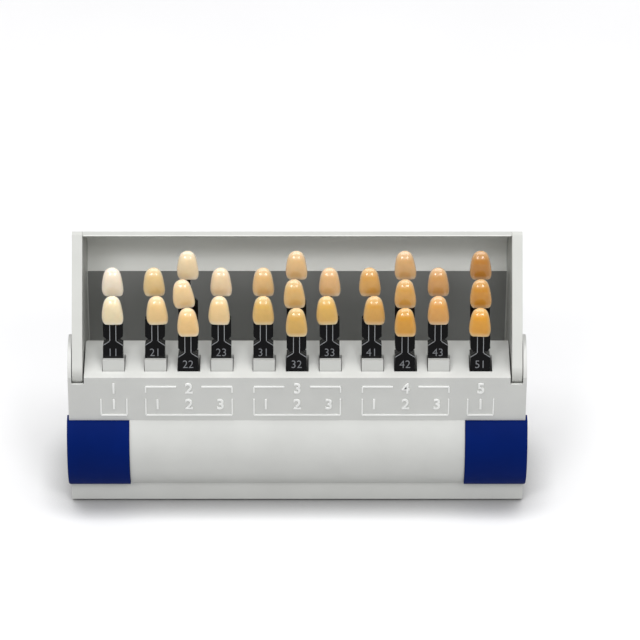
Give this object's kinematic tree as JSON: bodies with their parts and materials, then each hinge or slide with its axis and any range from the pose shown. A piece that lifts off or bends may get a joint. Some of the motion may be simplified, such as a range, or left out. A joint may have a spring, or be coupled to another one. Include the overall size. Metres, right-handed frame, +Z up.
{
  "type": "dental shade guide",
  "caption": "Tabletop tooth shade guide: riveted fans of tabs with sample teeth stand in a sloping row of sockets under a swinging hood.",
  "frame": {"origin": "centre of the footprint, on the table under the feet", "axes": "+X along the row to the viewer's right, +Y to the back, +Z up"},
  "size_m": [0.1968, 0.0758, 0.1168],
  "materials": {
    "body_grey": "fine satin moulded plastic",
    "hood_grey": "fine satin moulded plastic",
    "rack_grey": "satin moulded plastic",
    "grip_blue": "matte soft-touch plastic",
    "tab_black": "glossy black plastic",
    "foot_rubber": "matte rubber",
    "screw_steel": "zinc-plated steel",
    "tooth_1": "glazed translucent ceramic",
    "tooth_2": "glazed translucent ceramic",
    "tooth_3": "glazed translucent ceramic",
    "tooth_4": "glazed translucent ceramic",
    "tooth_5": "glazed translucent ceramic"
  },
  "bodies": {
    "base": {"base_shell": "body_grey", "base_plate": "body_grey", "rubber_feet": "foot_rubber", "floor_screws": "screw_steel", "grip_pad_left": "grip_blue", "grip_pad_right": "grip_blue", "socket_rack": "rack_grey"},
    "lid": {"lid": "hood_grey"},
    "shade_11_front": {"shade_11_tab_1": "tab_black", "shade_11_tooth_1": "tooth_1"},
    "shade_11_rear_1": {"shade_11_tab_2": "tab_black", "shade_11_tooth_2": "tooth_1"},
    "shade_21_front": {"shade_21_tab_1": "tab_black", "shade_21_tooth_1": "tooth_2"},
    "shade_21_rear_1": {"shade_21_tab_2": "tab_black", "shade_21_tooth_2": "tooth_2"},
    "shade_22_front": {"shade_22_tab_1": "tab_black", "shade_22_tooth_1": "tooth_2"},
    "shade_22_rear_1": {"shade_22_tab_2": "tab_black", "shade_22_tooth_2": "tooth_2"},
    "shade_22_rear_2": {"shade_22_tab_3": "tab_black", "shade_22_tooth_3": "tooth_2"},
    "shade_23_front": {"shade_23_tab_1": "tab_black", "shade_23_tooth_1": "tooth_2"},
    "shade_23_rear_1": {"shade_23_tab_2": "tab_black", "shade_23_tooth_2": "tooth_2"},
    "shade_31_front": {"shade_31_tab_1": "tab_black", "shade_31_tooth_1": "tooth_3"},
    "shade_31_rear_1": {"shade_31_tab_2": "tab_black", "shade_31_tooth_2": "tooth_3"},
    "shade_32_front": {"shade_32_tab_1": "tab_black", "shade_32_tooth_1": "tooth_3"},
    "shade_32_rear_1": {"shade_32_tab_2": "tab_black", "shade_32_tooth_2": "tooth_3"},
    "shade_32_rear_2": {"shade_32_tab_3": "tab_black", "shade_32_tooth_3": "tooth_3"},
    "shade_33_front": {"shade_33_tab_1": "tab_black", "shade_33_tooth_1": "tooth_3"},
    "shade_33_rear_1": {"shade_33_tab_2": "tab_black", "shade_33_tooth_2": "tooth_3"},
    "shade_41_front": {"shade_41_tab_1": "tab_black", "shade_41_tooth_1": "tooth_4"},
    "shade_41_rear_1": {"shade_41_tab_2": "tab_black", "shade_41_tooth_2": "tooth_4"},
    "shade_42_front": {"shade_42_tab_1": "tab_black", "shade_42_tooth_1": "tooth_4"},
    "shade_42_rear_1": {"shade_42_tab_2": "tab_black", "shade_42_tooth_2": "tooth_4"},
    "shade_42_rear_2": {"shade_42_tab_3": "tab_black", "shade_42_tooth_3": "tooth_4"},
    "shade_43_front": {"shade_43_tab_1": "tab_black", "shade_43_tooth_1": "tooth_4"},
    "shade_43_rear_1": {"shade_43_tab_2": "tab_black", "shade_43_tooth_2": "tooth_4"},
    "shade_51_front": {"shade_51_tab_1": "tab_black", "shade_51_tooth_1": "tooth_5"},
    "shade_51_rear_1": {"shade_51_tab_2": "tab_black", "shade_51_tooth_2": "tooth_5"},
    "shade_51_rear_2": {"shade_51_tab_3": "tab_black", "shade_51_tooth_3": "tooth_5"}
  },
  "joints": [
    {"name": "lid_swing", "type": "hinge", "parent": "base", "child": "lid", "pos_m": [0, -0.02233, 0.0666], "axis": [-1, 0, 0], "range_deg": [-75, 0]},
    {"name": "shade_11_lift", "type": "slide", "parent": "base", "child": "shade_11_front", "axis": [0, 0.342, 0.9397], "range_m": [0, 0.045]},
    {"name": "shade_11_fan_1", "type": "hinge", "parent": "shade_11_front", "child": "shade_11_rear_1", "pos_m": [-0.0784, -0.01739, 0.06635], "axis": [0, 0.9397, -0.342], "range_deg": [-0.5, 15.5]},
    {"name": "shade_21_lift", "type": "slide", "parent": "base", "child": "shade_21_front", "axis": [0, 0.342, 0.9397], "range_m": [0, 0.045]},
    {"name": "shade_21_fan_1", "type": "hinge", "parent": "shade_21_front", "child": "shade_21_rear_1", "pos_m": [-0.0605, -0.01739, 0.06635], "axis": [0, 0.9397, -0.342], "range_deg": [-0.5, 15.5]},
    {"name": "shade_22_lift", "type": "slide", "parent": "base", "child": "shade_22_front", "axis": [0, 0.342, 0.9397], "range_m": [0, 0.1]},
    {"name": "shade_22_fan_1", "type": "hinge", "parent": "shade_22_front", "child": "shade_22_rear_1", "pos_m": [-0.0464, -0.0223, 0.06367], "axis": [0, 0.9397, -0.342], "range_deg": [-0.5, 15.5]},
    {"name": "shade_22_fan_2", "type": "hinge", "parent": "shade_22_front", "child": "shade_22_rear_2", "pos_m": [-0.0464, -0.01882, 0.0624], "axis": [0, 0.9397, -0.342], "range_deg": [-0.5, 30.5]},
    {"name": "shade_23_lift", "type": "slide", "parent": "base", "child": "shade_23_front", "axis": [0, 0.342, 0.9397], "range_m": [0, 0.045]},
    {"name": "shade_23_fan_1", "type": "hinge", "parent": "shade_23_front", "child": "shade_23_rear_1", "pos_m": [-0.0323, -0.01739, 0.06635], "axis": [0, 0.9397, -0.342], "range_deg": [-0.5, 15.5]},
    {"name": "shade_31_lift", "type": "slide", "parent": "base", "child": "shade_31_front", "axis": [0, 0.342, 0.9397], "range_m": [0, 0.045]},
    {"name": "shade_31_fan_1", "type": "hinge", "parent": "shade_31_front", "child": "shade_31_rear_1", "pos_m": [-0.0144, -0.01739, 0.06635], "axis": [0, 0.9397, -0.342], "range_deg": [-0.5, 15.5]},
    {"name": "shade_32_lift", "type": "slide", "parent": "base", "child": "shade_32_front", "axis": [0, 0.342, 0.9397], "range_m": [0, 0.1]},
    {"name": "shade_32_fan_1", "type": "hinge", "parent": "shade_32_front", "child": "shade_32_rear_1", "pos_m": [-0.0003, -0.0223, 0.06367], "axis": [0, 0.9397, -0.342], "range_deg": [-0.5, 15.5]},
    {"name": "shade_32_fan_2", "type": "hinge", "parent": "shade_32_front", "child": "shade_32_rear_2", "pos_m": [-0.0003, -0.01882, 0.0624], "axis": [0, 0.9397, -0.342], "range_deg": [-0.5, 30.5]},
    {"name": "shade_33_lift", "type": "slide", "parent": "base", "child": "shade_33_front", "axis": [0, 0.342, 0.9397], "range_m": [0, 0.045]},
    {"name": "shade_33_fan_1", "type": "hinge", "parent": "shade_33_front", "child": "shade_33_rear_1", "pos_m": [0.0138, -0.01739, 0.06635], "axis": [0, 0.9397, -0.342], "range_deg": [-0.5, 15.5]},
    {"name": "shade_41_lift", "type": "slide", "parent": "base", "child": "shade_41_front", "axis": [0, 0.342, 0.9397], "range_m": [0, 0.045]},
    {"name": "shade_41_fan_1", "type": "hinge", "parent": "shade_41_front", "child": "shade_41_rear_1", "pos_m": [0.0317, -0.01739, 0.06635], "axis": [0, 0.9397, -0.342], "range_deg": [-0.5, 15.5]},
    {"name": "shade_42_lift", "type": "slide", "parent": "base", "child": "shade_42_front", "axis": [0, 0.342, 0.9397], "range_m": [0, 0.1]},
    {"name": "shade_42_fan_1", "type": "hinge", "parent": "shade_42_front", "child": "shade_42_rear_1", "pos_m": [0.0458, -0.0223, 0.06367], "axis": [0, 0.9397, -0.342], "range_deg": [-0.5, 15.5]},
    {"name": "shade_42_fan_2", "type": "hinge", "parent": "shade_42_front", "child": "shade_42_rear_2", "pos_m": [0.0458, -0.01882, 0.0624], "axis": [0, 0.9397, -0.342], "range_deg": [-0.5, 30.5]},
    {"name": "shade_43_lift", "type": "slide", "parent": "base", "child": "shade_43_front", "axis": [0, 0.342, 0.9397], "range_m": [0, 0.045]},
    {"name": "shade_43_fan_1", "type": "hinge", "parent": "shade_43_front", "child": "shade_43_rear_1", "pos_m": [0.0599, -0.01739, 0.06635], "axis": [0, 0.9397, -0.342], "range_deg": [-0.5, 15.5]},
    {"name": "shade_51_lift", "type": "slide", "parent": "base", "child": "shade_51_front", "axis": [0, 0.342, 0.9397], "range_m": [0, 0.1]},
    {"name": "shade_51_fan_1", "type": "hinge", "parent": "shade_51_front", "child": "shade_51_rear_1", "pos_m": [0.0778, -0.0223, 0.06367], "axis": [0, 0.9397, -0.342], "range_deg": [-0.5, 15.5]},
    {"name": "shade_51_fan_2", "type": "hinge", "parent": "shade_51_front", "child": "shade_51_rear_2", "pos_m": [0.0778, -0.01882, 0.0624], "axis": [0, 0.9397, -0.342], "range_deg": [-0.5, 30.5]}
  ],
  "couplings": [
    {"joint": "shade_11_fan_1", "follows": "shade_11_lift", "rad_per_m": 5.8178},
    {"joint": "shade_21_fan_1", "follows": "shade_21_lift", "rad_per_m": 5.8178},
    {"joint": "shade_22_fan_1", "follows": "shade_22_lift", "rad_per_m": 2.618},
    {"joint": "shade_22_fan_2", "follows": "shade_22_lift", "rad_per_m": 5.236},
    {"joint": "shade_23_fan_1", "follows": "shade_23_lift", "rad_per_m": 5.8178},
    {"joint": "shade_31_fan_1", "follows": "shade_31_lift", "rad_per_m": 5.8178},
    {"joint": "shade_32_fan_1", "follows": "shade_32_lift", "rad_per_m": 2.618},
    {"joint": "shade_32_fan_2", "follows": "shade_32_lift", "rad_per_m": 5.236},
    {"joint": "shade_33_fan_1", "follows": "shade_33_lift", "rad_per_m": 5.8178},
    {"joint": "shade_41_fan_1", "follows": "shade_41_lift", "rad_per_m": 5.8178},
    {"joint": "shade_42_fan_1", "follows": "shade_42_lift", "rad_per_m": 2.618},
    {"joint": "shade_42_fan_2", "follows": "shade_42_lift", "rad_per_m": 5.236},
    {"joint": "shade_43_fan_1", "follows": "shade_43_lift", "rad_per_m": 5.8178},
    {"joint": "shade_51_fan_1", "follows": "shade_51_lift", "rad_per_m": 2.618},
    {"joint": "shade_51_fan_2", "follows": "shade_51_lift", "rad_per_m": 5.236}
  ]
}
